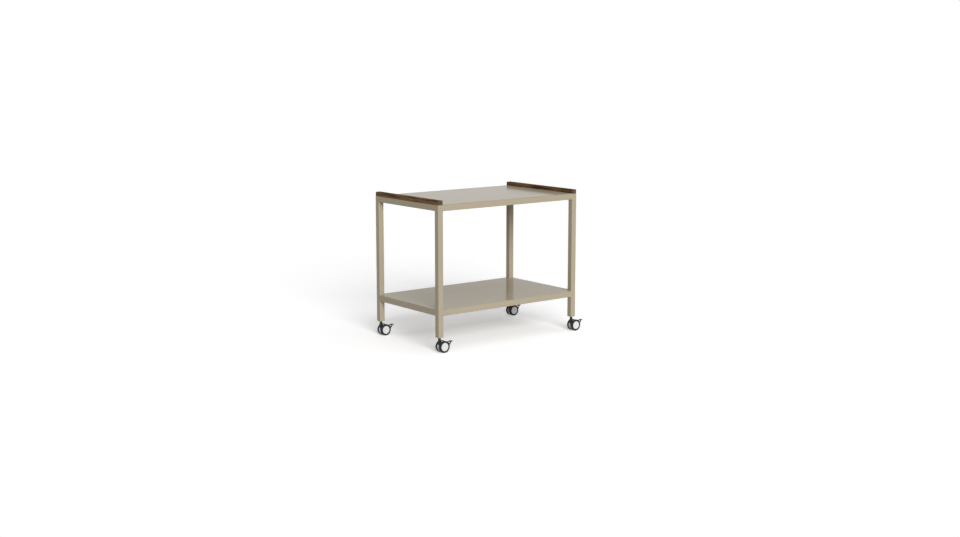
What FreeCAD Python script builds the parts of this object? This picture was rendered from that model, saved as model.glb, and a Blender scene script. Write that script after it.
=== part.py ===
"""Two-tier serving trolley: a welded square-tube frame with flush sheet shelves, two wooden
end rails, and four swivel casters, each with two wheels and a foot-operated brake.

Millimetres. X runs along the long side, Y from the front to the back, Z up. The origin is on
the floor, under the middle of the frame.
"""
import FreeCAD, Part
import math
import os

Vector = FreeCAD.Vector
UP = Vector(0, 0, 1)
ALONG_Y = Vector(0, 1, 0)
ORIGIN = Vector(0, 0, 0)

# Frame
LENGTH = 900.0  # outside the legs, along X
DEPTH = 550.0  # outside the legs, along Y
LEG_LENGTH = 658.0
LOWER_RAIL_RISE = 108.0  # lower end of a leg to the underside of the lower rails
TUBE = 30.0  # outside of the square tube
TUBE_WALL = 1.5
TUBE_RADIUS = 2.5  # outer corner of the tube
WELD_REACH = 1.5  # rail ends and sheet run this far round a leg's rounded edge
SHEET = 2.0  # shelf thickness
SHEET_EDGE = 0.8  # rounding of the shelves' upper edges

# Top-hat stiffener under each shelf
HAT_WIDTH = 40.0
HAT_FLANGE = 14.0
HAT_DEPTH = 18.0
HAT_WALL = 1.5

# Wooden end rails and the screws that hold them from inside the end tubes
WOOD_HEIGHT = 22.0
WOOD_CORNER = 5.0  # upright corners
WOOD_EDGE = 3.0  # upper edges
SCREWS_PER_RAIL = 3
SCREW_INSET = 95.0  # outer screws, from the ends of a rail
SCREW_RADIUS = 2.0
SCREW_GRIP = 15.0  # length in the wood
SCREW_HEAD_RADIUS = 4.0
SCREW_HEAD_HEIGHT = 2.5
SCREW_CLEARANCE = 0.25  # round the shank in the tube's upper wall
DRIVER_CLEARANCE = 1.0  # round the head in the tube's lower wall

# Threaded plug in the lower end of each leg, and the stem screwed into it
PLUG_HEIGHT = 20.0
PLUG_CLEARANCE = 0.1
STEM_RADIUS = 5.0
STEM_CHAMFER = 1.0
COLLAR_HEIGHT = 4.0
COLLAR_FLATS = 13.0  # across the hexagon's flats
PINTLE_RADIUS = 3.5
PINTLE_LENGTH = 31.0  # below the collar
PINTLE_CLEARANCE = 0.05
BEAD_HEIGHT = 3.0  # snap bead that carries the housing
BEAD_REACH = 0.7
BEAD_RISE = 4.0  # pintle's end to the bead
BEAD_CLEARANCE = 0.25

# Wheels
WHEEL_RADIUS = 30.0
WHEEL_WIDTH = 12.0
WHEEL_GAP = 17.4  # between the two wheels of a caster
TRAIL = 19.0  # swivel axis to axle
TREAD_BEVEL = 2.0  # outer edge of the tread
INNER_BEVEL = 3.0  # inner edge of the tread
TYRE_DEPTH = 5.5  # tread to the core's rim
FLANGE_DEPTH = 4.0  # tread to the core's inner flange
FLANGE_WIDTH = 1.6
LIP_WIDTH = 2.5  # tyre's outer wall
LIP_DEPTH = 9.2  # tread to the disc that shows inside the outer wall
DISC_RECESS = 0.5
INNER_RECESS = 3.0  # between hub and rim, on the inner side
RIM_WALL = 3.0
BOSS_RADIUS = 7.0
HUB_REACH = 2.5  # hub stands out from the wheel's inner face
CORE_RIBS = 6
RIB_WALL = 1.6
RIB_SET_BACK = 1.0
CENTRE_RADIUS = 8.0  # shallow dish in the middle of the disc
CENTRE_DEPTH = 0.8
AXLE_RADIUS = 3.0
AXLE_CLEARANCE = 0.05
AXLE_END_GAP = 0.5
AXLE_COVER = 4.5  # axle's end to the wheel's outer face

# Caster housing
SIDE_CLEARANCE = 0.5  # housing to hub
NECK_RADIUS = 7.0
NECK_FLARE = 2.5
NECK_FLARE_HEIGHT = 5.5
NECK_HEIGHT = 7.7  # above the flare
NECK_GAP = 0.3  # under the collar
TYRE_CLEARANCE = 0.5  # over the tread
FOOT_RADIUS = 7.5  # housing round the pintle's lower end
FOOT_FLOOR = 3.0  # material under the pintle
AXLE_BOSS_RADIUS = 9.0
CHEEK_RADIUS = 6.0  # round the brake pin

# Brake pedal with the brake off: distances from the tread, and degrees above the axle
BRAKE_TRAVEL = 16.0  # degrees
PIN_INSIDE = 6.65
PIN_ANGLE = 43.3
ELBOW_OUTSIDE = 13.1
ELBOW_ANGLE = 6.9
PAD_STEM_OUTSIDE = 26.2
PAD_STEM_ANGLE = 20.1
PAD_INNER_OUTSIDE = 18.6
PAD_INNER_ANGLE = 25.1
PAD_OUTER_OUTSIDE = 31.2
PAD_OUTER_ANGLE = 20.2
PIN_RADIUS = 2.0
PIN_CLEARANCE = 0.05
EYE_RADIUS = 5.0
UPPER_ARM_ROOT = 3.0  # radius at the pin
UPPER_ARM_END = 1.4  # radius at the pad
ELBOW_RADIUS = 2.2
STRUT_RADIUS = 1.3  # where the strut meets the pad
PAD_INNER_RADIUS = 2.4
PAD_OUTER_RADIUS = 1.4
PAD_WIDTH = 12.0
ARM_WIDTH = 5.0
STRUT_WIDTH = 5.0
SLOT_CLEARANCE = 0.25  # each side of the arms, and twice that behind their eye
SHOE_CLEARANCE = 0.5  # to the tread with the brake on
SHOE_THICKNESS = 2.0
SHOE_ON_TREAD = 4.4  # reach across each of the two treads
SHOE_START = 14.0  # degrees above the axle, with the brake on
SHOE_SPAN = 12.0

# Levels and places that follow
SHOULDER_LEVEL = 2 * WHEEL_RADIUS + TYRE_CLEARANCE
NECK_TOP = SHOULDER_LEVEL + NECK_FLARE_HEIGHT + NECK_HEIGHT
COLLAR_BOTTOM = NECK_TOP + NECK_GAP
CASTER_HEIGHT = COLLAR_BOTTOM + COLLAR_HEIGHT  # floor to the lower end of a leg
PINTLE_BOTTOM = COLLAR_BOTTOM - PINTLE_LENGTH
LEG_TOP = CASTER_HEIGHT + LEG_LENGTH
LOWER_RAIL_TOP = CASTER_HEIGHT + LOWER_RAIL_RISE + TUBE
BORE = TUBE - 2 * TUBE_WALL
LEG_X = (LENGTH - TUBE) / 2
LEG_Y = (DEPTH - TUBE) / 2
CORNERS = {
    "front_left": (-LEG_X, -LEG_Y),
    "front_right": (LEG_X, -LEG_Y),
    "back_left": (-LEG_X, LEG_Y),
    "back_right": (LEG_X, LEG_Y),
}
AXLE = Vector(TRAIL, 0, WHEEL_RADIUS)
RIM_RADIUS = WHEEL_RADIUS - TYRE_DEPTH
FLANGE_RADIUS = WHEEL_RADIUS - FLANGE_DEPTH
DISC_RADIUS = WHEEL_RADIUS - LIP_DEPTH
HOUSING_WIDTH = WHEEL_GAP - 2 * (HUB_REACH + SIDE_CLEARANCE)
SHOE_WIDTH = WHEEL_GAP + 2 * SHOE_ON_TREAD
AXLE_IN_WHEEL = WHEEL_WIDTH - AXLE_COVER
AXLE_HALF = WHEEL_GAP / 2 + AXLE_IN_WHEEL


def from_tread(distance, angle):
    """Place in a caster's middle plane, outside the tread, at an angle above the axle."""
    reach = WHEEL_RADIUS + distance
    turn = math.radians(angle)
    return AXLE + Vector(reach * math.cos(turn), 0, reach * math.sin(turn))


PIN = from_tread(-PIN_INSIDE, PIN_ANGLE)

os.makedirs("parts", exist_ok=True)


def save(shape, node):
    shape.exportStep(f"parts/{node}.step")


def at(shape, x, y, z=0.0):
    return shape.translated(Vector(x, y, z))


def rounded_square(side, radius):
    """Square outline in XY, centred, with rounded corners."""
    half = side / 2
    inner = half - radius
    edges = []
    for turn in range(4):
        corner = Part.makeLine(Vector(-inner, -half, 0), Vector(inner, -half, 0))
        centre = Vector(inner, -inner, 0)
        arc = Part.makeCircle(radius, centre, UP, 270, 360)
        for edge in (corner, arc):
            edges.append(edge.rotated(ORIGIN, UP, 90 * turn))
    return Part.Wire(Part.__sortEdges__(edges))


def prism(side, radius, length):
    return Part.Face(rounded_square(side, radius)).extrude(Vector(0, 0, length))


def tube(length):
    """Hollow square tube standing on Z = 0."""
    outer = prism(TUBE, TUBE_RADIUS, length)
    return outer.cut(prism(BORE, TUBE_RADIUS - TUBE_WALL, length))


def polygon(points):
    return Part.Face(Part.makePolygon(points + points[:1]))


def cylinder(radius, start, end):
    axis = end - start
    return Part.makeCylinder(radius, axis.Length, start, axis)


def belt(discs, width):
    """Plate across Y whose outline is a belt round discs (x, z, radius), listed anticlockwise."""
    count = len(discs)
    tangents = []
    for index, (x, z, radius) in enumerate(discs):
        next_x, next_z, next_radius = discs[(index + 1) % count]
        heading = math.atan2(next_z - z, next_x - x)
        lean = math.asin((radius - next_radius) / math.hypot(next_x - x, next_z - z))
        tangents.append(heading - math.pi / 2 + lean)

    def rim(disc, angle):
        x, z, radius = disc
        return Vector(x + radius * math.cos(angle), -width / 2, z + radius * math.sin(angle))

    edges = []
    for index, disc in enumerate(discs):
        arrive = tangents[index - 1]
        leave = arrive + (tangents[index] - arrive) % (2 * math.pi)
        arc = Part.Arc(rim(disc, arrive), rim(disc, (arrive + leave) / 2), rim(disc, leave))
        edges.append(arc.toShape())
        following = discs[(index + 1) % count]
        edges.append(Part.makeLine(rim(disc, leave), rim(following, tangents[index])))
    return Part.Face(Part.Wire(edges)).extrude(Vector(0, width, 0))


def disc(place, radius):
    return place.x, place.z, radius


# Legs: square tubes, open at both ends
leg_prisms = {}
for corner, (x, y) in CORNERS.items():
    leg_prisms[corner] = at(prism(TUBE, TUBE_RADIUS, LEG_LENGTH), x, y, CASTER_HEIGHT)
    save(at(tube(LEG_LENGTH), x, y, CASTER_HEIGHT), f"leg_{corner}")


def coped(shape):
    """Cuts what meets the legs to their rounded outline, as before welding."""
    return shape.cut(list(leg_prisms.values()))


# Rails: tubes between the legs, flush with their outer faces. Inside each leg the end rails are
# cut back to the side rails.
SIDE_REACH = LENGTH / 2 - TUBE + WELD_REACH
END_REACH = DEPTH / 2 - TUBE + WELD_REACH
outer_screw = DEPTH / 2 - SCREW_INSET
screw_places = []
for index in range(SCREWS_PER_RAIL):
    screw_places.append(outer_screw * (2 * index / (SCREWS_PER_RAIL - 1) - 1))
side_tube = at(tube(2 * SIDE_REACH), 0, 0, -SIDE_REACH).rotated(ORIGIN, ALONG_Y, 90)
side_prism = at(prism(TUBE, TUBE_RADIUS, 2 * SIDE_REACH), 0, 0, -SIDE_REACH)
side_prism = side_prism.rotated(ORIGIN, ALONG_Y, 90)
end_tube = at(tube(2 * END_REACH), 0, 0, -END_REACH).rotated(ORIGIN, Vector(1, 0, 0), -90)

for tier, top in (("top", LEG_TOP), ("lower", LOWER_RAIL_TOP)):
    middle = top - TUBE / 2
    for side, y in (("front", -LEG_Y), ("back", LEG_Y)):
        save(coped(at(side_tube, 0, y, middle)), f"{tier}_rail_{side}")
    for end, x in (("left", -LEG_X), ("right", LEG_X)):
        rail = coped(at(end_tube, x, 0, middle))
        rail = rail.cut([at(side_prism, 0, y, middle) for y in (-LEG_Y, LEG_Y)])
        if tier == "top":
            for y in screw_places:
                shank = cylinder(
                    SCREW_RADIUS + SCREW_CLEARANCE, Vector(x, y, middle), Vector(x, y, top)
                )
                driver = cylinder(
                    SCREW_HEAD_RADIUS + DRIVER_CLEARANCE,
                    Vector(x, y, top - TUBE),
                    Vector(x, y, middle),
                )
                rail = rail.cut([shank, driver])
        save(rail, f"{tier}_rail_{end}")


# Shelves: flat sheets on the rails. The top one ends at the wooden rails, the lower one is
# notched round the legs.
def sheet(length, level):
    plate = Part.makeBox(length, DEPTH, SHEET, Vector(-length / 2, -DEPTH / 2, level))
    upper = max(plate.Faces, key=lambda face: face.CenterOfMass.z)
    return plate.makeFillet(SHEET_EDGE, upper.Edges)


save(sheet(LENGTH - 2 * TUBE, LEG_TOP), "top_panel")

lower_panel = sheet(LENGTH, LOWER_RAIL_TOP)
for x, y in CORNERS.values():
    notch = Part.makeBox(TUBE, TUBE, 3 * SHEET, Vector(-TUBE / 2, -TUBE / 2, -SHEET))
    reach_x = x + math.copysign(WELD_REACH, x)
    reach_y = y + math.copysign(WELD_REACH, y)
    lower_panel = lower_panel.cut(at(notch, reach_x, reach_y, LOWER_RAIL_TOP))
lower_panel = coped(lower_panel)
save(lower_panel, "lower_panel")

# Stiffeners: folded top-hat strips across the middle of each shelf, between the side rails
hat_half = HAT_WIDTH / 2
hat_inside = hat_half - HAT_WALL
hat_brim = hat_half + HAT_FLANGE
hat_start = TUBE - DEPTH / 2
for tier, top in (("top", LEG_TOP), ("lower", LOWER_RAIL_TOP)):
    right_half = [
        Vector(hat_inside, hat_start, top - HAT_DEPTH + HAT_WALL),
        Vector(hat_inside, hat_start, top),
        Vector(hat_brim, hat_start, top),
        Vector(hat_brim, hat_start, top - HAT_WALL),
        Vector(hat_half, hat_start, top - HAT_WALL),
        Vector(hat_half, hat_start, top - HAT_DEPTH),
    ]
    left_half = [Vector(-p.x, p.y, p.z) for p in reversed(right_half)]
    hat = polygon(right_half + left_half).extrude(Vector(0, -2 * hat_start, 0))
    save(hat, f"{tier}_stiffener")

# Wooden rails: solid strips over the end tubes and leg tops, rounded at the ends and above
wood_block = Part.makeBox(
    TUBE, DEPTH, WOOD_HEIGHT, Vector(-TUBE / 2, -DEPTH / 2, LEG_TOP)
)
uprights = [edge for edge in wood_block.Edges if edge.tangentAt(edge.FirstParameter).z != 0]
wood_block = wood_block.makeFillet(WOOD_CORNER, uprights)
crown = max(wood_block.Faces, key=lambda face: face.CenterOfMass.z)
wood_block = wood_block.makeFillet(WOOD_EDGE, crown.Edges)
screws = []
for end, x in (("left", -LEG_X), ("right", LEG_X)):
    wood = at(wood_block, x, 0)
    for y in screw_places:
        tip = Vector(x, y, LEG_TOP + SCREW_GRIP)
        seat = Vector(x, y, LEG_TOP - TUBE_WALL)
        shank = cylinder(SCREW_RADIUS, seat, tip)
        head = cylinder(SCREW_HEAD_RADIUS, seat - UP * SCREW_HEAD_HEIGHT, seat)
        wood = wood.cut(shank)
        screws.append(shank.fuse(head))
    save(wood, f"wood_rail_{end}")
save(Part.makeCompound(screws), "wood_screws")

# Sockets and stems: a threaded plug in each leg, and a stem with a hexagonal collar above a
# pintle, whose bead snaps into the housing
plug = prism(BORE - 2 * PLUG_CLEARANCE, TUBE_RADIUS - TUBE_WALL, PLUG_HEIGHT)
plug = plug.cut(cylinder(STEM_RADIUS, ORIGIN, Vector(0, 0, PLUG_HEIGHT)))
plug = at(plug, 0, 0, CASTER_HEIGHT)


def pintle_profile(clearance, bead_clearance, end):
    """Half section of the pintle with its bead, from end up to the collar."""
    radius = PINTLE_RADIUS + clearance
    bead_radius = PINTLE_RADIUS + BEAD_REACH + bead_clearance
    bead_low = PINTLE_BOTTOM + BEAD_RISE - bead_clearance
    bead_high = PINTLE_BOTTOM + BEAD_RISE + BEAD_HEIGHT + bead_clearance
    outline = [
        Vector(0, 0, end),
        Vector(radius, 0, end),
        Vector(radius, 0, bead_low),
        Vector(bead_radius, 0, bead_low + BEAD_REACH),
        Vector(bead_radius, 0, bead_high - BEAD_REACH),
        Vector(radius, 0, bead_high),
        Vector(radius, 0, COLLAR_BOTTOM),
        Vector(0, 0, COLLAR_BOTTOM),
    ]
    return polygon(outline).revolve(ORIGIN, UP, 360)


hexagon = []
for index in range(6):
    angle = math.radians(60 * index)
    reach = COLLAR_FLATS / 2 / math.cos(math.pi / 6)
    hexagon.append(Vector(reach * math.cos(angle), reach * math.sin(angle), COLLAR_BOTTOM))
collar = polygon(hexagon).extrude(Vector(0, 0, COLLAR_HEIGHT))
thread_top = CASTER_HEIGHT + PLUG_HEIGHT - STEM_CHAMFER
thread = cylinder(STEM_RADIUS, Vector(0, 0, CASTER_HEIGHT), Vector(0, 0, thread_top))
tip = Part.makeCone(
    STEM_RADIUS, STEM_RADIUS - STEM_CHAMFER, STEM_CHAMFER, Vector(0, 0, thread_top)
)
stem = pintle_profile(0, 0, PINTLE_BOTTOM).fuse([collar, thread, tip])
save(Part.makeCompound([at(plug, *place) for place in CORNERS.values()]), "caster_sockets")
save(Part.makeCompound([at(stem, *place) for place in CORNERS.values()]), "caster_stems")


# Housing: a moulded neck over a web between the wheels, with the axle's boss and two cheeks
# for the brake pin
def make_housing():
    web = belt(
        [
            disc(AXLE, AXLE_BOSS_RADIUS),
            disc(PIN, CHEEK_RADIUS),
            (0, PINTLE_BOTTOM - FOOT_FLOOR + FOOT_RADIUS, FOOT_RADIUS),
        ],
        HOUSING_WIDTH,
    )
    column_base = PINTLE_BOTTOM - FOOT_FLOOR + FOOT_RADIUS
    column = Part.makeBox(
        2 * NECK_RADIUS,
        HOUSING_WIDTH,
        SHOULDER_LEVEL - column_base,
        Vector(-NECK_RADIUS, -HOUSING_WIDTH / 2, column_base),
    )
    flare = Part.makeCone(
        NECK_RADIUS + NECK_FLARE, NECK_RADIUS, NECK_FLARE_HEIGHT, Vector(0, 0, SHOULDER_LEVEL)
    )
    neck = cylinder(
        NECK_RADIUS,
        Vector(0, 0, SHOULDER_LEVEL + NECK_FLARE_HEIGHT),
        Vector(0, 0, NECK_TOP),
    )
    housing = web.fuse([column, flare, neck]).removeSplitter()
    slot_start = PIN.x - EYE_RADIUS - 2 * SLOT_CLEARANCE
    slot_width = ARM_WIDTH + 2 * SLOT_CLEARANCE
    slot = Part.makeBox(
        2 * CHEEK_RADIUS + EYE_RADIUS,
        slot_width,
        2 * WHEEL_RADIUS,
        Vector(slot_start, -slot_width / 2, 0),
    )
    socket = pintle_profile(PINTLE_CLEARANCE, BEAD_CLEARANCE, PINTLE_BOTTOM - BEAD_CLEARANCE)
    half = Vector(0, HOUSING_WIDTH / 2, 0)
    axle_bore = cylinder(AXLE_RADIUS, AXLE - half, AXLE + half)
    pin_bore = cylinder(PIN_RADIUS, PIN - half, PIN + half)
    return housing.cut([slot, socket, axle_bore, pin_bore])


def turned(section, side):
    """Turns a section (radius, distance out from the wheel's inner face) round the axle."""
    points = []
    for radius, out in section:
        points.append(Vector(AXLE.x, side * (WHEEL_GAP / 2 + out), AXLE.z + radius))
    return polygon(points).revolve(AXLE, ALONG_Y, 360)


# Wheel core: a moulding with a blind hub, a closed outer disc, a flange that holds the tyre and
# radial ribs in the recess of the inner side
def make_core(side):
    bore = AXLE_RADIUS + AXLE_CLEARANCE
    bore_end = AXLE_IN_WHEEL + AXLE_END_GAP
    face = WHEEL_WIDTH - DISC_RECESS
    rim_end = WHEEL_WIDTH - LIP_WIDTH
    core = turned(
        [
            (bore, -HUB_REACH),
            (BOSS_RADIUS, -HUB_REACH),
            (BOSS_RADIUS, INNER_RECESS),
            (RIM_RADIUS - RIM_WALL, INNER_RECESS),
            (RIM_RADIUS - RIM_WALL, 0),
            (FLANGE_RADIUS, 0),
            (FLANGE_RADIUS, FLANGE_WIDTH),
            (RIM_RADIUS, FLANGE_WIDTH),
            (RIM_RADIUS, rim_end),
            (DISC_RADIUS, rim_end),
            (DISC_RADIUS, face),
            (CENTRE_RADIUS, face),
            (CENTRE_RADIUS - CENTRE_DEPTH, face - CENTRE_DEPTH),
            (0, face - CENTRE_DEPTH),
            (0, bore_end),
            (bore, bore_end),
        ],
        side,
    )
    rib_length = RIM_RADIUS - RIM_WALL - BOSS_RADIUS + 2 * RIB_WALL
    rib_depth = INNER_RECESS - RIB_SET_BACK + RIB_WALL
    near = WHEEL_GAP / 2 + RIB_SET_BACK
    rib = Part.makeBox(
        RIB_WALL,
        rib_depth,
        rib_length,
        Vector(
            AXLE.x - RIB_WALL / 2,
            near if side > 0 else -near - rib_depth,
            AXLE.z + BOSS_RADIUS - RIB_WALL,
        ),
    )
    ribs = [rib.rotated(AXLE, ALONG_Y, 360 * index / CORE_RIBS) for index in range(CORE_RIBS)]
    return core.fuse(ribs).removeSplitter()


# Tyre: a soft tread over the rim, with an outer wall that frames the disc
def make_tyre(side):
    seat = WHEEL_WIDTH - LIP_WIDTH
    return turned(
        [
            (FLANGE_RADIUS, 0),
            (WHEEL_RADIUS - INNER_BEVEL, 0),
            (WHEEL_RADIUS, INNER_BEVEL),
            (WHEEL_RADIUS, WHEEL_WIDTH - TREAD_BEVEL),
            (WHEEL_RADIUS - TREAD_BEVEL, WHEEL_WIDTH),
            (DISC_RADIUS, WHEEL_WIDTH),
            (DISC_RADIUS, seat),
            (RIM_RADIUS, seat),
            (RIM_RADIUS, FLANGE_WIDTH),
            (FLANGE_RADIUS, FLANGE_WIDTH),
        ],
        side,
    )


# Brake pedal: an open lever with two arms on the pin, a pad at the end of the upper one and a
# strut from the lower one up to the pad. A shoe joins the arms across both treads, and follows
# the tread when the brake is on.
def make_pedal():
    elbow = from_tread(ELBOW_OUTSIDE, ELBOW_ANGLE)
    pad_stem = from_tread(PAD_STEM_OUTSIDE, PAD_STEM_ANGLE)
    pad_inner = from_tread(PAD_INNER_OUTSIDE, PAD_INNER_ANGLE)
    pad_outer = from_tread(PAD_OUTER_OUTSIDE, PAD_OUTER_ANGLE)
    lower_arm = belt([disc(PIN, EYE_RADIUS), disc(elbow, ELBOW_RADIUS)], ARM_WIDTH)
    upper_arm = belt([disc(PIN, UPPER_ARM_ROOT), disc(pad_inner, UPPER_ARM_END)], ARM_WIDTH)
    strut = belt([disc(elbow, ELBOW_RADIUS), disc(pad_stem, STRUT_RADIUS)], STRUT_WIDTH)
    pad = belt(
        [disc(pad_inner, PAD_INNER_RADIUS), disc(pad_outer, PAD_OUTER_RADIUS)], PAD_WIDTH
    )
    shoe_inside = WHEEL_RADIUS + SHOE_CLEARANCE
    shoe_outside = shoe_inside + SHOE_THICKNESS
    section = polygon(
        [
            AXLE + Vector(shoe_inside, -SHOE_WIDTH / 2, 0),
            AXLE + Vector(shoe_outside, -SHOE_WIDTH / 2, 0),
            AXLE + Vector(shoe_outside, SHOE_WIDTH / 2, 0),
            AXLE + Vector(shoe_inside, SHOE_WIDTH / 2, 0),
        ]
    )
    shoe = section.rotated(AXLE, ALONG_Y, -SHOE_START).revolve(AXLE, -ALONG_Y, SHOE_SPAN)
    shoe = shoe.rotated(PIN, ALONG_Y, -BRAKE_TRAVEL)
    pedal = lower_arm.fuse([upper_arm, strut, pad, shoe]).removeSplitter()
    across = Vector(0, ARM_WIDTH / 2, 0)
    return pedal.cut(cylinder(PIN_RADIUS + PIN_CLEARANCE, PIN - across, PIN + across))


caster = {
    "caster_housing": make_housing(),
    "caster_axle": cylinder(
        AXLE_RADIUS, AXLE - ALONG_Y * AXLE_HALF, AXLE + ALONG_Y * AXLE_HALF
    ),
    "brake_pin": cylinder(
        PIN_RADIUS, PIN - ALONG_Y * HOUSING_WIDTH / 2, PIN + ALONG_Y * HOUSING_WIDTH / 2
    ),
    "brake_pedal": make_pedal(),
}
wheels = {
    "a": (make_core(-1), make_tyre(-1)),
    "b": (make_core(1), make_tyre(1)),
}
for corner, (x, y) in CORNERS.items():
    for piece, shape in caster.items():
        save(at(shape, x, y), f"{piece}_{corner}")
    for side, (core, tyre) in wheels.items():
        save(at(core, x, y), f"wheel_core_{corner}_{side}")
        save(at(tyre, x, y), f"tyre_{corner}_{side}")
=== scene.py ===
import math

import bmesh
import bpy
from mathutils import Matrix, Vector


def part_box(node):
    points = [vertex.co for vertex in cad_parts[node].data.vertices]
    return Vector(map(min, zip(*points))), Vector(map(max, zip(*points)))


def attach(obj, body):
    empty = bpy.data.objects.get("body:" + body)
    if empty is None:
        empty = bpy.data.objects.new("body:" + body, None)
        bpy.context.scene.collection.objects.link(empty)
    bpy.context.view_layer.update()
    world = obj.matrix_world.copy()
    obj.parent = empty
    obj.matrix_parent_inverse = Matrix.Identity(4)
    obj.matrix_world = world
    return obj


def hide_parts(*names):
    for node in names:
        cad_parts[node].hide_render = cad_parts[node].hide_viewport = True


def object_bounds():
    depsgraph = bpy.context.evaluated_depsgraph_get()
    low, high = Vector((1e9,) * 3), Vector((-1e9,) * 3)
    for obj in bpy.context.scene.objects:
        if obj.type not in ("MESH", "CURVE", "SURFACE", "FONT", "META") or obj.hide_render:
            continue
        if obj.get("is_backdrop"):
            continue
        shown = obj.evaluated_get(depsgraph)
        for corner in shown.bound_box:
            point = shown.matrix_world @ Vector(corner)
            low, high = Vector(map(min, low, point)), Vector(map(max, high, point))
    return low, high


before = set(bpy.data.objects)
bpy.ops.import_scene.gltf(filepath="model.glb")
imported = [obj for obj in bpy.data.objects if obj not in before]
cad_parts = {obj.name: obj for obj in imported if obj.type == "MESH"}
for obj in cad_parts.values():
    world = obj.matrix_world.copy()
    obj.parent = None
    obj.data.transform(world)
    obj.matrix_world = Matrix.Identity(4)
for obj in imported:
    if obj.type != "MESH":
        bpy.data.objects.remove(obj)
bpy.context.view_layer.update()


# Welded frame: four legs, eight rails and two sheet shelves with their stiffeners, all of mild
# steel. The tubes are welded and ground flush, the sheets are stitched on from below, and the
# whole frame is powder coated in one sand colour.
MM = 0.001
CORNERS = ("front_left", "front_right", "back_left", "back_right")


def linear(code):
    """sRGB hex colour to the linear values that a shader takes."""
    values = []
    for start in (1, 3, 5):
        part = int(code[start:start + 2], 16) / 255
        values.append(part / 12.92 if part <= 0.04045 else ((part + 0.055) / 1.055) ** 2.4)
    return (*values, 1)


def add(tree, kind, inputs=None, **settings):
    """Adds a node: settings are its properties, inputs are values or the sockets that feed it."""
    made = tree.nodes.new(kind)
    for name, value in settings.items():
        setattr(made, name, value)
    for name, value in (inputs or {}).items():
        if isinstance(value, bpy.types.NodeSocket):
            tree.links.new(value, made.inputs[name])
        else:
            made.inputs[name].default_value = value
    return made


def new_material(name):
    """Empty material, and its node tree."""
    made = bpy.data.materials.new(name)
    made.use_nodes = True
    made.node_tree.nodes.clear()
    return made, made.node_tree


def finish_surface(tree, shader):
    """Puts a shader on the output of a material."""
    add(tree, "ShaderNodeOutputMaterial", {"Surface": shader.outputs[0]})


# Satin polyester powder coat: pigmented resin under its own thin clear skin, which mirrors what
# stands on it only weakly. Cured particles flow into a faint orange peel, so highlights are soft
# and uneven. The peel is 1 to 2 mm wide on the real coat and drawn at 3 mm to show.
COAT_LIGHT, COAT_DARK = "#ADA28D", "#A79C87"
PEEL_WIDTH, PEEL_DEPTH, CLOUD_WIDTH = 3 * MM, 0.02 * MM, 180 * MM
powder_coat, tree = new_material("satin_powder_coat_sand")
place = add(tree, "ShaderNodeTexCoord").outputs["Object"]
clouds = add(tree, "ShaderNodeTexNoise", {"Vector": place, "Scale": 1 / CLOUD_WIDTH, "Detail": 2})
peel = add(tree, "ShaderNodeTexNoise", {"Vector": place, "Scale": 1 / PEEL_WIDTH, "Detail": 1.5})
tone = add(tree, "ShaderNodeMix", {
    0: clouds.outputs["Fac"], 6: linear(COAT_DARK), 7: linear(COAT_LIGHT),
}, data_type="RGBA")
gloss = add(tree, "ShaderNodeMapRange", {
    "Value": peel.outputs["Fac"], "To Min": 0.5, "To Max": 0.6,
})
relief = add(tree, "ShaderNodeBump", {
    "Height": peel.outputs["Fac"], "Distance": PEEL_DEPTH, "Strength": 0.5,
})
finish_surface(tree, add(tree, "ShaderNodeBsdfPrincipled", {
    "Base Color": tone.outputs[2], "Roughness": gloss.outputs[0], "IOR": 1.5,
    "Specular IOR Level": 0.0, "Coat Weight": 0.77, "Coat Roughness": 0.14, "Coat IOR": 1.15,
    "Normal": relief.outputs[0], "Coat Normal": relief.outputs[0],
}))


def coat(nodes, material):
    """Gives CAD pieces a finish in place of the plain one they were packed with."""
    for name in nodes:
        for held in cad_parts[name].material_slots:
            held.material = material


tube_nodes = [f"leg_{corner}" for corner in CORNERS]
for tier in ("top", "lower"):
    tube_nodes += [f"{tier}_rail_{side}" for side in ("front", "back", "left", "right")]
    tube_nodes += [f"{tier}_panel", f"{tier}_stiffener"]
coat(tube_nodes, powder_coat)


# Weld beads: short fillet welds left as laid where they don't show, up the inside corner of
# each leg and under each rail end. A bead is a row of overlapping ripples under the coat.
BEAD_RADIUS, RIPPLE_PITCH, BEAD_END = 2.2 * MM, 1.3 * MM, 2.5 * MM
RIPPLE_THICKNESS = 0.55  # along the bead, as a part of its width


def new_tree(name, **sizes):
    """Geometry tree with one geometry input and one named input for each size."""
    tree = bpy.data.node_groups.new(name, "GeometryNodeTree")
    tree.interface.new_socket("Geometry", in_out="INPUT", socket_type="NodeSocketGeometry")
    for size, kind in sizes.items():
        tree.interface.new_socket(size, in_out="INPUT", socket_type=f"NodeSocket{kind}")
    tree.interface.new_socket("Geometry", in_out="OUTPUT", socket_type="NodeSocketGeometry")
    return tree, add(tree, "NodeGroupInput").outputs


def end_tree(tree, geometry, material):
    """Closes a tree: turns instances into mesh and gives all of it one finish."""
    solid = add(tree, "GeometryNodeRealizeInstances", {"Geometry": geometry})
    dressed = add(tree, "GeometryNodeSetMaterial", {
        "Geometry": solid.outputs[0], "Material": material,
    })
    add(tree, "NodeGroupOutput", {"Geometry": dressed.outputs[0]})


def fuse(tree, *meshes):
    """Joins closed meshes that run into each other to one skin, with nothing left inside."""
    whole = add(tree, "GeometryNodeMeshBoolean", operation="UNION", solver="MANIFOLD")
    for mesh in meshes:
        solid = add(tree, "GeometryNodeRealizeInstances", {"Geometry": mesh})
        tree.links.new(solid.outputs[0], whole.inputs["Mesh 2"])
    return whole.outputs[0]


def new_object(name, data):
    """Object in the scene that shows a mesh, or holds a light or a camera."""
    made = bpy.data.objects.new(name, data)
    bpy.context.scene.collection.objects.link(made)
    return made


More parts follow.
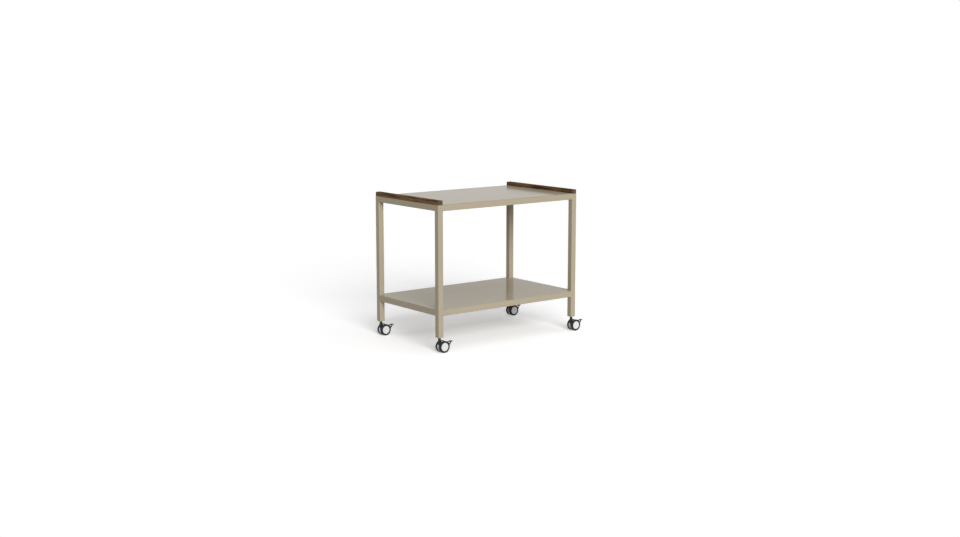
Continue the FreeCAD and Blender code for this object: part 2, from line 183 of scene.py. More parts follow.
def grow(name, tree, base, **sizes):
    """Runs a tree on a base mesh, and keeps the result as a plain mesh at the origin."""
    made = new_object(name, base)
    modifier = made.modifiers.new("grow", "NODES")
    modifier.node_group = tree
    for item in tree.interface.items_tree:
        if item.in_out == "INPUT" and item.name in sizes:
            modifier[item.identifier] = sizes[item.name]
    graph = bpy.context.evaluated_depsgraph_get()
    made.data = bpy.data.meshes.new_from_object(made.evaluated_get(graph), depsgraph=graph)
    made.modifiers.remove(modifier)
    return made


def base_mesh(name, points, edges=()):
    """Points, or edges between points, for a tree to grow on."""
    made = bpy.data.meshes.new(name)
    made.from_pydata(points, edges, [])
    return made


tree, size = new_tree("weld_beads", pitch="Float", radius="Float")
runs = add(tree, "GeometryNodeMeshToCurve", {"Mesh": size["Geometry"]})
steps = add(tree, "GeometryNodeCurveToPoints", {
    "Curve": runs.outputs[0], "Length": size["pitch"],
}, mode="LENGTH")
ripple = add(tree, "GeometryNodeMeshIcoSphere", {"Radius": size["radius"], "Subdivisions": 2})
smooth = add(tree, "GeometryNodeSetShadeSmooth", {"Geometry": ripple.outputs[0]})
laid = add(tree, "GeometryNodeInstanceOnPoints", {
    "Points": steps.outputs["Points"], "Instance": smooth.outputs[0],
    "Rotation": steps.outputs["Rotation"], "Scale": (1, 1, RIPPLE_THICKNESS),
})
end_tree(tree, laid.outputs[0], powder_coat)

points, edges = [], []


def bead(start, end):
    """Notes one run of weld."""
    edges.append((len(points), len(points) + 1))
    points.extend((start, end))


for corner in CORNERS:
    leg_low, leg_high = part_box(f"leg_{corner}")
    inward_x, inward_y = -math.copysign(1, leg_low.x), -math.copysign(1, leg_low.y)
    inner_x = leg_high.x if inward_x > 0 else leg_low.x
    inner_y = leg_high.y if inward_y > 0 else leg_low.y
    for tier in ("top", "lower"):
        rail_low, rail_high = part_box(f"{tier}_rail_front")
        under, over = rail_low.z, rail_high.z - BEAD_END
        bead((inner_x, inner_y, under + BEAD_END), (inner_x, inner_y, over))
        near_y, far_y = leg_low.y + BEAD_END, leg_high.y - BEAD_END
        near_x, far_x = leg_low.x + BEAD_END, leg_high.x - BEAD_END
        bead((inner_x, near_y, under), (inner_x, far_y, under))
        bead((near_x, inner_y, under), (far_x, inner_y, under))
welds = grow("weld_beads", tree, base_mesh("weld_runs", points, edges),
             pitch=RIPPLE_PITCH, radius=BEAD_RADIUS)
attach(welds, "frame")

# Spot welds: the stiffeners' flanges are pressed to the shelf sheets and welded in spots, which
# leaves a low ring round each electrode mark.
SPOT_RADIUS, SPOT_RIM, SPOT_PITCH, SPOT_INSET = 3 * MM, 0.35 * MM, 60 * MM, 7 * MM
FLANGE_WALL = 1.5 * MM
tree, size = new_tree("spot_welds", radius="Float", rim="Float")
ring = add(tree, "GeometryNodeCurvePrimitiveCircle", {"Resolution": 20, "Radius": size["radius"]})
profile = add(tree, "GeometryNodeCurvePrimitiveCircle", {"Resolution": 6, "Radius": size["rim"]})
mark = add(tree, "GeometryNodeCurveToMesh", {
    "Curve": ring.outputs[0], "Profile Curve": profile.outputs[0],
})
smooth = add(tree, "GeometryNodeSetShadeSmooth", {"Geometry": mark.outputs[0]})
laid = add(tree, "GeometryNodeInstanceOnPoints", {
    "Points": size["Geometry"], "Instance": smooth.outputs[0],
})
end_tree(tree, laid.outputs[0], powder_coat)
points = []
for tier in ("top", "lower"):
    hat_low, hat_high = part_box(f"{tier}_stiffener")
    count = int((hat_high.y - hat_low.y) / SPOT_PITCH)
    for index in range(count):
        y = (index - (count - 1) / 2) * SPOT_PITCH
        for x in (hat_low.x + SPOT_INSET, hat_high.x - SPOT_INSET):
            points.append((x, y, hat_high.z - FLANGE_WALL))
spots = grow("spot_welds", tree, base_mesh("spot_places", points),
             radius=SPOT_RADIUS, rim=SPOT_RIM)
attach(spots, "frame")


# Walnut rails: solid strips planed to the width of the tube, with rounded corners and rounded
# upper edges, oiled, and screwed down over the end tubes and leg tops.

# Oiled black walnut: growth rings 3.4 mm apart round a heart outside the strip, dark streaks of
# heartwood, and open pores along the grain. The end grain drinks more oil and is greyer. The
# pores are 0.3 mm wide on real wood and drawn at 1 mm to show.
WALNUT_LATE, WALNUT_EARLY, WALNUT_PORE = "#684E34", "#927252", "#38291F"
WALNUT_STREAK, WALNUT_END = "#3F2E21", "#5E4E41"
RING_SPACING, HEART = 3.4 * MM, (45 * MM, 0, 60 * MM)
RING_DRIFT = 0.06  # how fast the rings change along the trunk, as a part of how fast across it
PORE_WIDTH, PORE_LENGTH, PORE_DEPTH = 1.0 * MM, 40 * MM, 0.08 * MM
STREAK_WIDTH, STREAK_LENGTH = 9 * MM, 170 * MM
WAVE_SPAN = 0.314159  # width of one ring of the wave texture at a scale of 1
OIL_SKIN = 0.05  # weight of the thin coat that the oil leaves
walnut, tree = new_material("oiled_walnut")
grain = add(tree, "ShaderNodeAttribute", attribute_name="grain").outputs["Vector"]
trunk = add(tree, "ShaderNodeMapping", {
    "Vector": grain, "Location": HEART, "Scale": (1, RING_DRIFT, 1),
})
rings = add(tree, "ShaderNodeTexWave", {
    "Vector": trunk.outputs[0], "Scale": WAVE_SPAN / RING_SPACING, "Distortion": 5,
    "Detail": 2, "Detail Scale": 28, "Detail Roughness": 0.5,
}, wave_type="RINGS", rings_direction="Y", wave_profile="SIN")


def along_grain(width, length):
    """Noise drawn out along the grain, with flecks about as wide and long as given."""
    drawn = add(tree, "ShaderNodeMapping", {
        "Vector": grain, "Scale": (1 / width, 1 / length, 1 / width),
    })
    flecks = add(tree, "ShaderNodeTexNoise", {"Vector": drawn.outputs[0], "Scale": 1, "Detail": 3})
    return flecks.outputs["Fac"]


pores = add(tree, "ShaderNodeMapRange", {
    "Value": along_grain(PORE_WIDTH, PORE_LENGTH), "From Min": 0.52, "From Max": 0.72,
})
streaks = add(tree, "ShaderNodeMapRange", {
    "Value": along_grain(STREAK_WIDTH, STREAK_LENGTH), "From Min": 0.44, "From Max": 0.6,
    "To Max": 0.85,
})
facing = add(tree, "ShaderNodeSeparateXYZ", {
    0: add(tree, "ShaderNodeTexCoord").outputs["Normal"],
})
cut_across = add(tree, "ShaderNodeMath", {0: facing.outputs["Y"]}, operation="ABSOLUTE")
end_grain = add(tree, "ShaderNodeMapRange", {
    "Value": cut_across.outputs[0], "From Min": 0.5, "From Max": 0.85, "To Max": 0.8,
})
wood_tone = add(tree, "ShaderNodeMix", {
    0: rings.outputs["Fac"], 6: linear(WALNUT_LATE), 7: linear(WALNUT_EARLY),
}, data_type="RGBA")
for depth, colour in ((streaks, WALNUT_STREAK), (end_grain, WALNUT_END), (pores, WALNUT_PORE)):
    wood_tone = add(tree, "ShaderNodeMix", {
        0: depth.outputs[0], 6: wood_tone.outputs[2], 7: linear(colour),
    }, data_type="RGBA")
relief = add(tree, "ShaderNodeBump", {
    "Height": pores.outputs[0], "Distance": PORE_DEPTH, "Strength": 0.7,
}, invert=True)
worn = add(tree, "ShaderNodeMapRange", {
    "Value": pores.outputs[0], "To Min": 0.5, "To Max": 0.68,
})
finish_surface(tree, add(tree, "ShaderNodeBsdfPrincipled", {
    "Base Color": wood_tone.outputs[2], "Roughness": worn.outputs[0], "IOR": 1.48,
    "Specular IOR Level": 0.0, "Coat Weight": OIL_SKIN, "Coat Roughness": 0.4, "Coat IOR": 1.3,
    "Normal": relief.outputs[0], "Coat Normal": relief.outputs[0],
}))

WOOD_CORNER, WOOD_EDGE, WOOD_ARRIS = 5 * MM, 3 * MM, 0.5 * MM
CORNER_STEPS, EDGE_STEPS, ARRIS_STEPS = 10, 7, 2
ROUND = 0.5  # bevel profile of a circular arc
SAME_LEVEL = 0.001 * MM
GRAIN_SHIFT = 1.7  # metres along the trunk from one strip to the other


def smooth_by_angle(mesh, degrees):
    """Smooth shading, apart from edges that turn by more than an angle."""
    mesh.shade_smooth()
    mesh.set_sharp_from_angle(angle=math.radians(degrees))


for index, end in enumerate(("left", "right")):
    low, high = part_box(f"wood_rail_{end}")
    middle = (low + high) / 2
    strip = bmesh.new()
    bmesh.ops.create_cube(strip, size=1, matrix=Matrix.LocRotScale(middle, None, high - low))
    uprights = [e for e in strip.edges if abs(e.verts[0].co.z - e.verts[1].co.z) > WOOD_EDGE]
    bmesh.ops.bevel(strip, geom=uprights, offset=WOOD_CORNER, segments=CORNER_STEPS,
                    profile=ROUND, affect="EDGES")
    for level, radius, steps in (
        (high.z, WOOD_EDGE, EDGE_STEPS), (low.z, WOOD_ARRIS, ARRIS_STEPS),
    ):
        rim = [e for e in strip.edges
               if all(abs(v.co.z - level) < SAME_LEVEL for v in e.verts)]
        bmesh.ops.bevel(strip, geom=rim, offset=radius, segments=steps, profile=ROUND,
                        affect="EDGES")
    mesh = bpy.data.meshes.new(f"walnut_rail_{end}")
    strip.to_mesh(mesh)
    strip.free()
    layer = mesh.attributes.new("grain", "FLOAT_VECTOR", "POINT")
    for vertex, held in zip(mesh.vertices, layer.data):
        held.vector = vertex.co - middle + Vector((0, GRAIN_SHIFT * index, 0))
    smooth_by_angle(mesh, degrees=35)
    mesh.materials.append(walnut)
    rail = new_object(f"walnut_rail_{end}", mesh)
    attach(rail, "frame")
    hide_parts(f"wood_rail_{end}")


# Rail screws: zinc-plated pan heads with a cross recess, driven up through holes in the end
# tubes into the walnut, three to a rail.
def metal(name, colours, roughness, flake):
    """Plated steel: thin plate over a drawn or turned surface, with a slightly clouded shine."""
    made, tree = new_material(name)
    place = add(tree, "ShaderNodeTexCoord").outputs["Object"]
    cloud = add(tree, "ShaderNodeTexNoise", {"Vector": place, "Scale": 1 / flake, "Detail": 3})
    tone = add(tree, "ShaderNodeMix", {
        0: cloud.outputs["Fac"], 6: linear(colours[0]), 7: linear(colours[1]),
    }, data_type="RGBA")
    haze = add(tree, "ShaderNodeMapRange", {
        "Value": cloud.outputs["Fac"], "To Min": roughness[0], "To Max": roughness[1],
    })
    finish_surface(tree, add(tree, "ShaderNodeBsdfPrincipled", {
        "Base Color": tone.outputs[2], "Roughness": haze.outputs[0], "Metallic": 1.0,
    }))
    return made


# Bright zinc plate: bluish white with a passivated haze in patches of a few millimetres.
zinc = metal("bright_zinc_plate", colours=("#B9BDC2", "#D2D2CC"), roughness=(0.24, 0.4),
             flake=4 * MM)
HEAD_RADIUS, HEAD_HEIGHT, SHANK_RADIUS, SHANK_LENGTH = 4 * MM, 2.5 * MM, 2 * MM, 16.5 * MM
CROSS_WIDTH, CROSS_SPAN, CROSS_DEPTH = 1.1 * MM, 4.4 * MM, 1.5 * MM
HEAD_STEPS, HEAD_RINGS = 32, 15
SEAT_BLOCK = (20 * MM, 20 * MM, 10 * MM)  # cuts the upper half off the dome
tree, size = new_tree("pan_head_screws", head="Vector", shank_radius="Float",
                      shank_length="Float", shank_place="Vector", cross="Vector",
                      cross_place="Vector")
dome = add(tree, "GeometryNodeMeshUVSphere", {
    "Segments": HEAD_STEPS, "Rings": HEAD_RINGS, "Radius": 1,
})
half_step = (0, 0, math.pi / HEAD_STEPS)  # so that the edges of the recess meet no vertex
head = add(tree, "GeometryNodeTransform", {
    "Geometry": dome.outputs[0], "Scale": size["head"], "Rotation": half_step,
})
seat = add(tree, "GeometryNodeMeshCube", {"Size": SEAT_BLOCK})
seat = add(tree, "GeometryNodeTransform", {
    "Geometry": seat.outputs[0], "Translation": (0, 0, SEAT_BLOCK[2] / 2),
})
slot = add(tree, "GeometryNodeMeshCube", {"Size": size["cross"]})
slots = []
for angle in (0, math.pi / 2):
    slots.append(add(tree, "GeometryNodeTransform", {
        "Geometry": slot.outputs[0], "Rotation": (0, 0, angle),
        "Translation": size["cross_place"],
    }))
cut = head
for tool in (seat, *slots):
    cut = add(tree, "GeometryNodeMeshBoolean", {
        "Mesh 1": cut.outputs[0], "Mesh 2": tool.outputs[0],
    }, operation="DIFFERENCE", solver="MANIFOLD")
shank = add(tree, "GeometryNodeMeshCylinder", {
    "Vertices": 24, "Radius": size["shank_radius"], "Depth": size["shank_length"],
})
shank = add(tree, "GeometryNodeTransform", {
    "Geometry": shank.outputs[0], "Translation": size["shank_place"],
})
laid = add(tree, "GeometryNodeInstanceOnPoints", {
    "Points": size["Geometry"], "Instance": fuse(tree, cut.outputs[0], shank.outputs[0]),
})
end_tree(tree, laid.outputs[0], zinc)
SCREW_SPACING, TUBE_WALL = 180 * MM, 1.5 * MM
points = []
for end in ("left", "right"):
    low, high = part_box(f"wood_rail_{end}")
    for step in (-1, 0, 1):
        points.append(((low.x + high.x) / 2, step * SCREW_SPACING, low.z - TUBE_WALL))
screws = grow("rail_screws", tree, base_mesh("screw_places", points),
              head=(HEAD_RADIUS, HEAD_RADIUS, HEAD_HEIGHT), shank_radius=SHANK_RADIUS,
              shank_length=SHANK_LENGTH, shank_place=(0, 0, SHANK_LENGTH / 2),
              cross=(CROSS_SPAN, CROSS_WIDTH, 2 * CROSS_DEPTH), cross_place=(0, 0, -HEAD_HEIGHT))
smooth_by_angle(screws.data, degrees=30)
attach(screws, "frame")
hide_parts("wood_screws")


# Caster stems: a threaded steel plug with a zinc plate, set in the lower end of each leg, and a
# blackened steel stem screwed into it, with a hexagonal collar against the leg and a pintle below.
coat(["caster_sockets"], zinc)
# Blackened steel: an oxide layer over turned bar, near black with a weak dull shine.
black_steel = metal("blackened_steel", colours=("#2B2B2D", "#3A3A3C"), roughness=(0.38, 0.52),
                    flake=3 * MM)
coat(["caster_stems"], black_steel)


# Caster housings: one moulding in black nylon, a neck over a web between the wheels, with a boss
# for the axle and two cheeks for the brake pin. It snaps over the pintle's bead.
FLOW_WIDTH = 25 * MM  # faint clouds where the melt ran together


def moulded(name, colours, roughness, shine, grit, depth):
    """Moulded plastic: a sheen broken by the fine grain of a spark-eroded mould."""
    made, tree = new_material(name)
    place = add(tree, "ShaderNodeTexCoord").outputs["Object"]
    grains = add(tree, "ShaderNodeTexNoise", {"Vector": place, "Scale": 1 / grit, "Detail": 2})
    flow = add(tree, "ShaderNodeTexNoise", {"Vector": place, "Scale": 1 / FLOW_WIDTH, "Detail": 2})
    tone = add(tree, "ShaderNodeMix", {
        0: flow.outputs["Fac"], 6: linear(colours[0]), 7: linear(colours[1]),
    }, data_type="RGBA")
    sheen = add(tree, "ShaderNodeMapRange", {
        "Value": grains.outputs["Fac"], "To Min": roughness[0], "To Max": roughness[1],
    })
    relief = add(tree, "ShaderNodeBump", {
        "Height": grains.outputs["Fac"], "Distance": depth, "Strength": 0.6,
    })
    finish_surface(tree, add(tree, "ShaderNodeBsdfPrincipled", {
        "Base Color": tone.outputs[2], "Roughness": sheen.outputs[0], "IOR": 1.53,
        "Specular IOR Level": shine, "Normal": relief.outputs[0],
    }))
    return made


# Black nylon: mould grain is 0.1 mm and drawn at 0.6 mm to show.
black_nylon = moulded("moulded_black_nylon", colours=("#1B1B1D", "#242426"),
                      roughness=(0.42, 0.58), shine=0.35, grit=0.6 * MM, depth=0.02 * MM)
MOULD_EDGE, EDGE_FULLNESS = 0.35 * MM, 0.6
SAME_POINT, FLAT_ANGLE, SHARP_ANGLE = 0.002 * MM, math.radians(1), math.radians(40)


def soften(name, node, width):
    """Copy of a CAD piece with its sharp edges rounded, as a mould leaves them."""
    shape = bmesh.new()
    shape.from_mesh(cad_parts[node].data)
    bmesh.ops.remove_doubles(shape, verts=shape.verts, dist=SAME_POINT)
    bmesh.ops.dissolve_limit(shape, angle_limit=FLAT_ANGLE, verts=shape.verts, edges=shape.edges)
    sharp = [e for e in shape.edges if e.is_manifold and e.calc_face_angle(0) > SHARP_ANGLE]
    bmesh.ops.bevel(shape, geom=sharp, offset=width, segments=2, profile=EDGE_FULLNESS,
                    affect="EDGES", clamp_overlap=True)
    mesh = bpy.data.meshes.new(name)
    shape.to_mesh(mesh)
    shape.free()
    smooth_by_angle(mesh, degrees=32)
    return mesh


for corner in CORNERS:
    node = f"caster_housing_{corner}"
    mesh = soften(f"housing_{corner}", node, MOULD_EDGE)
    mesh.materials.append(black_nylon)
    housing = new_object(f"housing_{corner}", mesh)
    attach(housing, f"caster_{corner}")
    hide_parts(node)


# Axles and brake pins: round steel bar, drawn, cut to length and zinc plated. They are pressed into
# the housings and carry the wheels and the pedals.
coat([f"{piece}_{corner}" for piece in ("caster_axle", "brake_pin") for corner in CORNERS], zinc)


# Tyres: grey thermoplastic rubber moulded over the wheel's rim, with rounded shoulders, a parting
# line round the tread and a shallow groove in the outer wall. The wheels' sizes are in mm.
WHEEL_RADIUS, WHEEL_WIDTH, RIM_RADIUS = 30.0, 12.0, 24.5
SHOULDER, INNER_SHOULDER, CROWN, DISC_RADIUS, WALL_WIDTH = 2.2, 3.2, 0.15, 20.8, 2.5
FLANGE_RADIUS, FLANGE_WIDTH = 26.0, 1.6
PARTING_FOOT, PARTING_CREST = 0.35, 0.15  # half widths of the parting line, which is CROWN high
GROOVE_OUTER, GROOVE_INNER, GROOVE_DEPTH, GROOVE_SLOPE = 26.3, 25.1, 0.3, 0.3
LIP, FINE_CHAMFER = 0.6, 0.2
TURN_STEPS = 96


def turn(mesh_name, section, middle, inner, outward):
    """Turns a closed section (radius, distance out from the inner face) in mm round the axle."""
    shape = bmesh.new()
    rows = []
    for radius, out in section:
        y = inner + outward * out * MM
        if radius == 0:
            rows.append([shape.verts.new((middle.x, y, middle.z))] * TURN_STEPS)
            continue
        row = []
        for step in range(TURN_STEPS):
            angle = math.tau * step / TURN_STEPS
            row.append(shape.verts.new((middle.x + radius * MM * math.sin(angle), y,
                                        middle.z + radius * MM * math.cos(angle))))
        rows.append(row)
    for row, after in zip(rows, rows[1:] + rows[:1]):
        for step in range(TURN_STEPS):
            ahead = (step + 1) % TURN_STEPS
            corners = []
            for vertex in (row[step], row[ahead], after[ahead], after[step]):
                if vertex not in corners:
                    corners.append(vertex)
            if len(corners) > 2:
                shape.faces.new(corners)
    bmesh.ops.recalc_face_normals(shape, faces=shape.faces)
    mesh = bpy.data.meshes.new(mesh_name)
    shape.to_mesh(mesh)
    shape.free()
    return mesh


def arc(centre_radius, centre_out, reach, start, end, steps=6):
    """Points of a rounded edge, by angle from straight outwards along the radius."""
    points = []
    for step in range(steps + 1):
        angle = math.radians(start + (end - start) * step / steps)
        points.append((centre_radius + reach * math.cos(angle),
                       centre_out + reach * math.sin(angle)))
    return points


def groove(outer, inner, depth, face):
    """Points of a ring with sloped sides that is sunk into a face."""
    return [(outer, face), (outer - GROOVE_SLOPE, face - depth),
            (inner + GROOVE_SLOPE, face - depth), (inner, face)]


tread = WHEEL_RADIUS - CROWN
mid_width = WHEEL_WIDTH / 2
tyre_section = [(RIM_RADIUS, FLANGE_WIDTH), (FLANGE_RADIUS, FLANGE_WIDTH)]
tyre_section += [(FLANGE_RADIUS, FINE_CHAMFER), (FLANGE_RADIUS + FINE_CHAMFER, 0)]
tyre_section += arc(tread - INNER_SHOULDER, INNER_SHOULDER, INNER_SHOULDER, -90, 0)
tyre_section += [(tread, mid_width - PARTING_FOOT), (WHEEL_RADIUS, mid_width - PARTING_CREST)]
tyre_section += [(WHEEL_RADIUS, mid_width + PARTING_CREST), (tread, mid_width + PARTING_FOOT)]
tyre_section += arc(tread - SHOULDER, WHEEL_WIDTH - SHOULDER, SHOULDER, 0, 90)
tyre_section += groove(GROOVE_OUTER, GROOVE_INNER, GROOVE_DEPTH, WHEEL_WIDTH)
tyre_section += arc(DISC_RADIUS + LIP, WHEEL_WIDTH - LIP, LIP, 90, 180, steps=4)
tyre_section += [(DISC_RADIUS, WHEEL_WIDTH - WALL_WIDTH), (RIM_RADIUS, WHEEL_WIDTH - WALL_WIDTH)]

# Thermoplastic rubber: dark grey and dull, with a fine matt grain (0.2 mm, drawn at 0.8 mm to
# show) and faint clouds from the moulding.
rubber = moulded("dark_grey_rubber", colours=("#28282B", "#313134"), roughness=(0.62, 0.8),
                 shine=0.2, grit=0.8 * MM, depth=0.03 * MM)


def wheel_place(corner, side):
    """Middle of a wheel, its inner face and the way it faces, from its tyre's CAD box."""
    low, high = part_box(f"tyre_{corner}_{side}")
    outward = -1 if side == "a" else 1
    return (low + high) / 2, (low.y if outward > 0 else high.y), outward


for corner in CORNERS:
    for side in ("a", "b"):
        node = f"tyre_{corner}_{side}"
        mesh = turn(f"rubber_{node}", tyre_section, *wheel_place(corner, side))
        smooth_by_angle(mesh, degrees=40)
        mesh.materials.append(rubber)
        tyre = new_object(f"rubber_{node}", mesh)
        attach(tyre, f"wheel_{corner}_{side}")
        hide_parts(node)


# Wheel cores: light grey nylon mouldings with a blind hub on the axle, a closed outer disc with a
# shallow dish and a witness ring, a flange that holds the tyre, and six ribs on the inner side.
FACE, RIM_END, HUB_RADIUS, HUB_REACH, BORE, BORE_END = 11.5, 9.5, 7.0, 2.5, 3.05, 8.0
RIM_INSIDE, INNER_RECESS = 21.5, 3.0
CHAMFER, FILLET = 0.3, 0.4
BOND, DISC_BOND = 0.02, 0.03  # left between nylon and rubber, so that no two faces coincide
WITNESS_OUTER, WITNESS_INNER, WITNESS_DEPTH = 18.3, 17.2, 0.25
DISH_EDGE, DISH_FLOOR, DISH_DEPTH = 8.8, 7.2, 0.8
GATE_FOOT, GATE_TOP, GATE_EDGE, GATE_RISE = 2.1, 1.9, 0.15, 0.2  # low mark of the mould's gate
dish = FACE - DISH_DEPTH
core_section = [(BORE, FINE_CHAMFER - HUB_REACH), (BORE + FINE_CHAMFER, -HUB_REACH)]
core_section += [(HUB_RADIUS - CHAMFER, -HUB_REACH), (HUB_RADIUS, CHAMFER - HUB_REACH)]
core_section += [(HUB_RADIUS, INNER_RECESS - FILLET), (HUB_RADIUS + FILLET, INNER_RECESS)]
core_section += [(RIM_INSIDE - FILLET, INNER_RECESS), (RIM_INSIDE, INNER_RECESS - FILLET)]
core_section += [(RIM_INSIDE, CHAMFER), (RIM_INSIDE + CHAMFER, 0)]
core_section += [(FLANGE_RADIUS - FINE_CHAMFER, 0), (FLANGE_RADIUS - BOND, FINE_CHAMFER)]
core_section += [(FLANGE_RADIUS - BOND, FLANGE_WIDTH - BOND)]
core_section += [(RIM_RADIUS - BOND, FLANGE_WIDTH - BOND), (RIM_RADIUS - BOND, RIM_END - BOND)]
core_section += [(DISC_RADIUS - DISC_BOND, RIM_END - BOND)]
core_section += arc(DISC_RADIUS - DISC_BOND - LIP, FACE - LIP, LIP, 0, 90, steps=4)
core_section += groove(WITNESS_OUTER, WITNESS_INNER, WITNESS_DEPTH, FACE)
core_section += arc(DISH_EDGE, FACE - FILLET, FILLET, 90, 150, steps=3)
core_section += [(DISH_FLOOR, dish), (GATE_FOOT, dish)]
core_section += [(GATE_TOP, dish + GATE_EDGE), (0, dish + GATE_RISE)]
core_section += [(0, BORE_END), (BORE, BORE_END)]

# Light grey nylon: clean moulded plastic with a soft sheen. Its grain is 0.1 mm and drawn at
# 0.7 mm to show.
light_nylon = moulded("moulded_light_grey_nylon", colours=("#D3D3D1", "#DBDBD9"),
                      roughness=(0.4, 0.52), shine=0.4, grit=0.7 * MM, depth=0.01 * MM)
RIB_COUNT, RIB_WALL, RIB_FROM, RIB_TO, RIB_START, RIB_END = 6, 1.6, 6.6, 22.0, 1.0, 3.6
tree, size = new_tree("wheel_ribs", count="Int", reach="Float", rib="Vector", place="Vector")
spokes = add(tree, "GeometryNodeMeshCircle", {"Vertices": size["count"], "Radius": size["reach"]})
spin = add(tree, "GeometryNodeInputIndex")
turned = add(tree, "ShaderNodeMath", {0: math.tau, 1: size["count"]}, operation="DIVIDE")
turned = add(tree, "ShaderNodeMath", {0: spin.outputs[0], 1: turned.outputs[0]},
             operation="MULTIPLY")
about = add(tree, "ShaderNodeCombineXYZ", {"Z": turned.outputs[0]})
rib = add(tree, "GeometryNodeMeshCube", {"Size": size["rib"]})
laid = add(tree, "GeometryNodeInstanceOnPoints", {
    "Points": spokes.outputs[0], "Instance": rib.outputs[0], "Rotation": about.outputs[0],
})
upright = add(tree, "GeometryNodeTransform", {
    "Geometry": laid.outputs[0], "Rotation": (math.pi / 2, 0, 0), "Translation": size["place"],
})
end_tree(tree, fuse(tree, size["Geometry"], upright.outputs[0]), light_nylon)
for corner in CORNERS:
    for side in ("a", "b"):
        node = f"wheel_core_{corner}_{side}"
        middle, inner, outward = wheel_place(corner, side)
        cup = turn(f"nylon_{node}", core_section, middle, inner, outward)
        rib_middle = inner + outward * (RIB_START + RIB_END) / 2 * MM
        core = grow(
            f"nylon_{node}", tree, cup, count=RIB_COUNT, reach=(RIB_FROM + RIB_TO) / 2 * MM,
            rib=((RIB_TO - RIB_FROM) * MM, RIB_WALL * MM, (RIB_END - RIB_START) * MM),
            place=(middle.x, rib_middle, middle.z),
        )
        smooth_by_angle(core.data, degrees=35)
        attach(core, f"wheel_{corner}_{side}")
        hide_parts(node)


# Brake pedals: open black nylon levers on the brake pin, with a shoe across both treads and a pad
# for the foot that has moulded grip ridges. Sizes are in mm.
PAD_TOP, PAD_TILT = (50.8, 22.77), math.radians(-2.1)  # upper face, from the axle in X and Z
RIDGES, RIDGE_PITCH, RIDGE_RADIUS, RIDGE_SUNK, RIDGE_LENGTH = 5, 2.6, 0.55, 0.2, 10.0
tree, size = new_tree("grip_ridges", count="Int", first="Vector", step="Vector", radius="Float",
                      length="Float", place="Vector", tilt="Vector")
row = add(tree, "GeometryNodeMeshLine", {
    "Count": size["count"], "Start Location": size["first"], "Offset": size["step"],
})
ridge = add(tree, "GeometryNodeMeshCylinder", {
    "Vertices": 12, "Radius": size["radius"], "Depth": size["length"],
})
laid = add(tree, "GeometryNodeInstanceOnPoints", {
    "Points": row.outputs[0], "Instance": ridge.outputs[0], "Rotation": (math.pi / 2, 0, 0),
})
set_down = add(tree, "GeometryNodeTransform", {
    "Geometry": laid.outputs[0], "Rotation": size["tilt"], "Translation": size["place"],
})
end_tree(tree, fuse(tree, size["Geometry"], set_down.outputs[0]), black_nylon)
for corner in CORNERS:
    node = f"brake_pedal_{corner}"
    axle_low, axle_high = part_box(f"caster_axle_{corner}")
    axle = (axle_low + axle_high) / 2
    place = axle + Vector((PAD_TOP[0], 0, PAD_TOP[1] - RIDGE_SUNK)) * MM
    pedal = grow(
        f"pedal_{corner}", tree, soften(f"pedal_{corner}", node, MOULD_EDGE), count=RIDGES,
        first=(-(RIDGES - 1) / 2 * RIDGE_PITCH * MM, 0, 0), step=(RIDGE_PITCH * MM, 0, 0),
        radius=RIDGE_RADIUS * MM, length=RIDGE_LENGTH * MM, place=place, tilt=(0, -PAD_TILT, 0),
    )
    smooth_by_angle(pedal.data, degrees=35)
    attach(pedal, f"brake_{corner}")
    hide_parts(node)


# Studio: a wide white floor that keeps the trolley's shadow, and an even white surround. A soft
# light stands low in front and a wide one overhead. A weak one from behind on the right casts no
# shadow, like light that comes back from the rest of a room.
FLOOR_SPAN, FLOOR_TONE = 120, 0.7  # width in metres, and the part of the light that it gives back
FLOOR_SEEN, FLOOR_GLOW = 1.05, 0.256  # its brightness and its glow where it is seen directly
FLOOR_LIGHT, FLOOR_DARK, GRIME_WIDTH = "#FFFFFF", "#FDFDFE", 2
LIGHTS = {  # turn about Z, rise above the floor, spread, strength, casts shadows, is mirrored
    "front_light": (-111, 21, 29, 2.88, True, False),
    "overhead_light": (-89, 73, 77, 0.95, True, True),
    "fill_light": (60, 27, 40, 0.66, False, False),
}
SURROUND_COLOUR, SURROUND_LIGHT, SURROUND_SEEN = "#FFFFFF", 0.02, 1.0


def seen_directly(tree):
    """1 for the camera, mirror and glass rays that show the background, 0 for light itself."""
    ray = add(tree, "ShaderNodeLightPath")
    total = ray.outputs["Is Camera Ray"]
    for kind in ("Is Glossy Ray", "Is Transmission Ray"):
        total = add(tree, "ShaderNodeMath", {0: total, 1: ray.outputs[kind]},
                    operation="MAXIMUM").outputs[0]
    return total


sweep, tree = new_material("white_studio_floor")
grime = add(tree, "ShaderNodeTexNoise", {
    "Vector": add(tree, "ShaderNodeTexCoord").outputs["Object"], "Scale": 1 / GRIME_WIDTH,
    "Detail": 2,
})
shade = add(tree, "ShaderNodeMix", {
    0: grime.outputs["Fac"], 6: linear(FLOOR_DARK), 7: linear(FLOOR_LIGHT),
}, data_type="RGBA")
seen = seen_directly(tree)
reach = add(tree, "ShaderNodeMapRange", {
    "Value": seen, "To Min": FLOOR_TONE, "To Max": FLOOR_SEEN,
})
tone = add(tree, "ShaderNodeVectorMath", {
    0: shade.outputs[2], "Scale": reach.outputs[0],
}, operation="SCALE")
lit = add(tree, "ShaderNodeBsdfDiffuse", {"Color": tone.outputs[0]})
bright = add(tree, "ShaderNodeMath", {0: seen, 1: FLOOR_GLOW}, operation="MULTIPLY")
glow = add(tree, "ShaderNodeEmission", {
    "Color": shade.outputs[2], "Strength": bright.outputs[0],
})
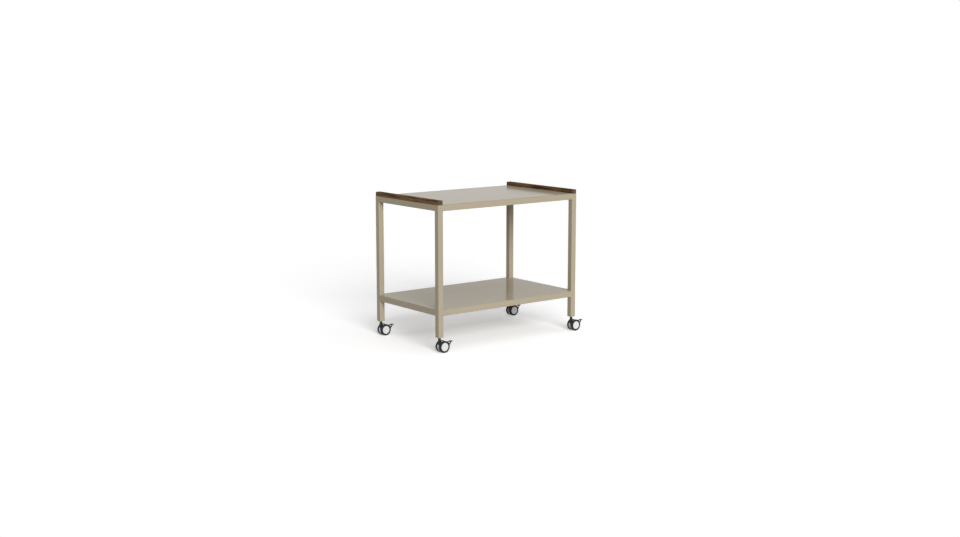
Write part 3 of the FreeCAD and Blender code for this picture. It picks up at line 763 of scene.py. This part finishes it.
finish_surface(tree, add(tree, "ShaderNodeAddShader", {0: lit.outputs[0], 1: glow.outputs[0]}))
sweep.cycles.emission_sampling = "NONE"  # the glow is only seen and lights nothing
edge = FLOOR_SPAN / 2
mesh = bpy.data.meshes.new("studio_floor")
mesh.from_pydata([(-edge, -edge, 0), (edge, -edge, 0), (edge, edge, 0), (-edge, edge, 0)], [],
                 [(0, 1, 2, 3)])
mesh.materials.append(sweep)
new_object("studio_floor", mesh)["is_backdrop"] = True

world = bpy.data.worlds.new("white_surround")
world.use_nodes = True
world.node_tree.nodes.clear()
tree = world.node_tree
even = linear(SURROUND_COLOUR)
dim = add(tree, "ShaderNodeBackground", {"Color": even, "Strength": SURROUND_LIGHT})
white = add(tree, "ShaderNodeBackground", {"Color": even, "Strength": SURROUND_SEEN})
both = add(tree, "ShaderNodeMixShader", {
    0: seen_directly(tree), 1: dim.outputs[0], 2: white.outputs[0],
})
add(tree, "ShaderNodeOutputWorld", {"Surface": both.outputs[0]})
bpy.context.scene.world = world

for name, (turn_about, rise, spread, strength, shadows, mirrored) in LIGHTS.items():
    lamp = bpy.data.lights.new(name, "SUN")
    lamp.angle, lamp.energy, lamp.use_shadow = math.radians(spread), strength, shadows
    light = new_object(name, lamp)
    light.rotation_euler = (math.radians(90 - rise), 0, math.radians(turn_about + 90))
    light.visible_glossy = mirrored


# Camera: a 50 mm lens, twice as high as the trolley, turned to see the front and the left end.
LENS, SENSOR, FAR = 50, 36, 200  # lens and sensor in mm, and how far it sees in metres
CAMERA_PLACE, CAMERA_TILT, CAMERA_TURN = (-4.23693, -5.47545, 1.47952), 80.7016, -37.8716
view = bpy.data.cameras.new("camera")
view.lens, view.sensor_width, view.clip_end = LENS, SENSOR, FAR
camera = new_object("camera", view)
camera.location = CAMERA_PLACE
camera.rotation_euler = (math.radians(CAMERA_TILT), 0, math.radians(CAMERA_TURN))
bpy.context.scene.camera = camera
bpy.context.scene.view_settings.view_transform = "Standard"

low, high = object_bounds()
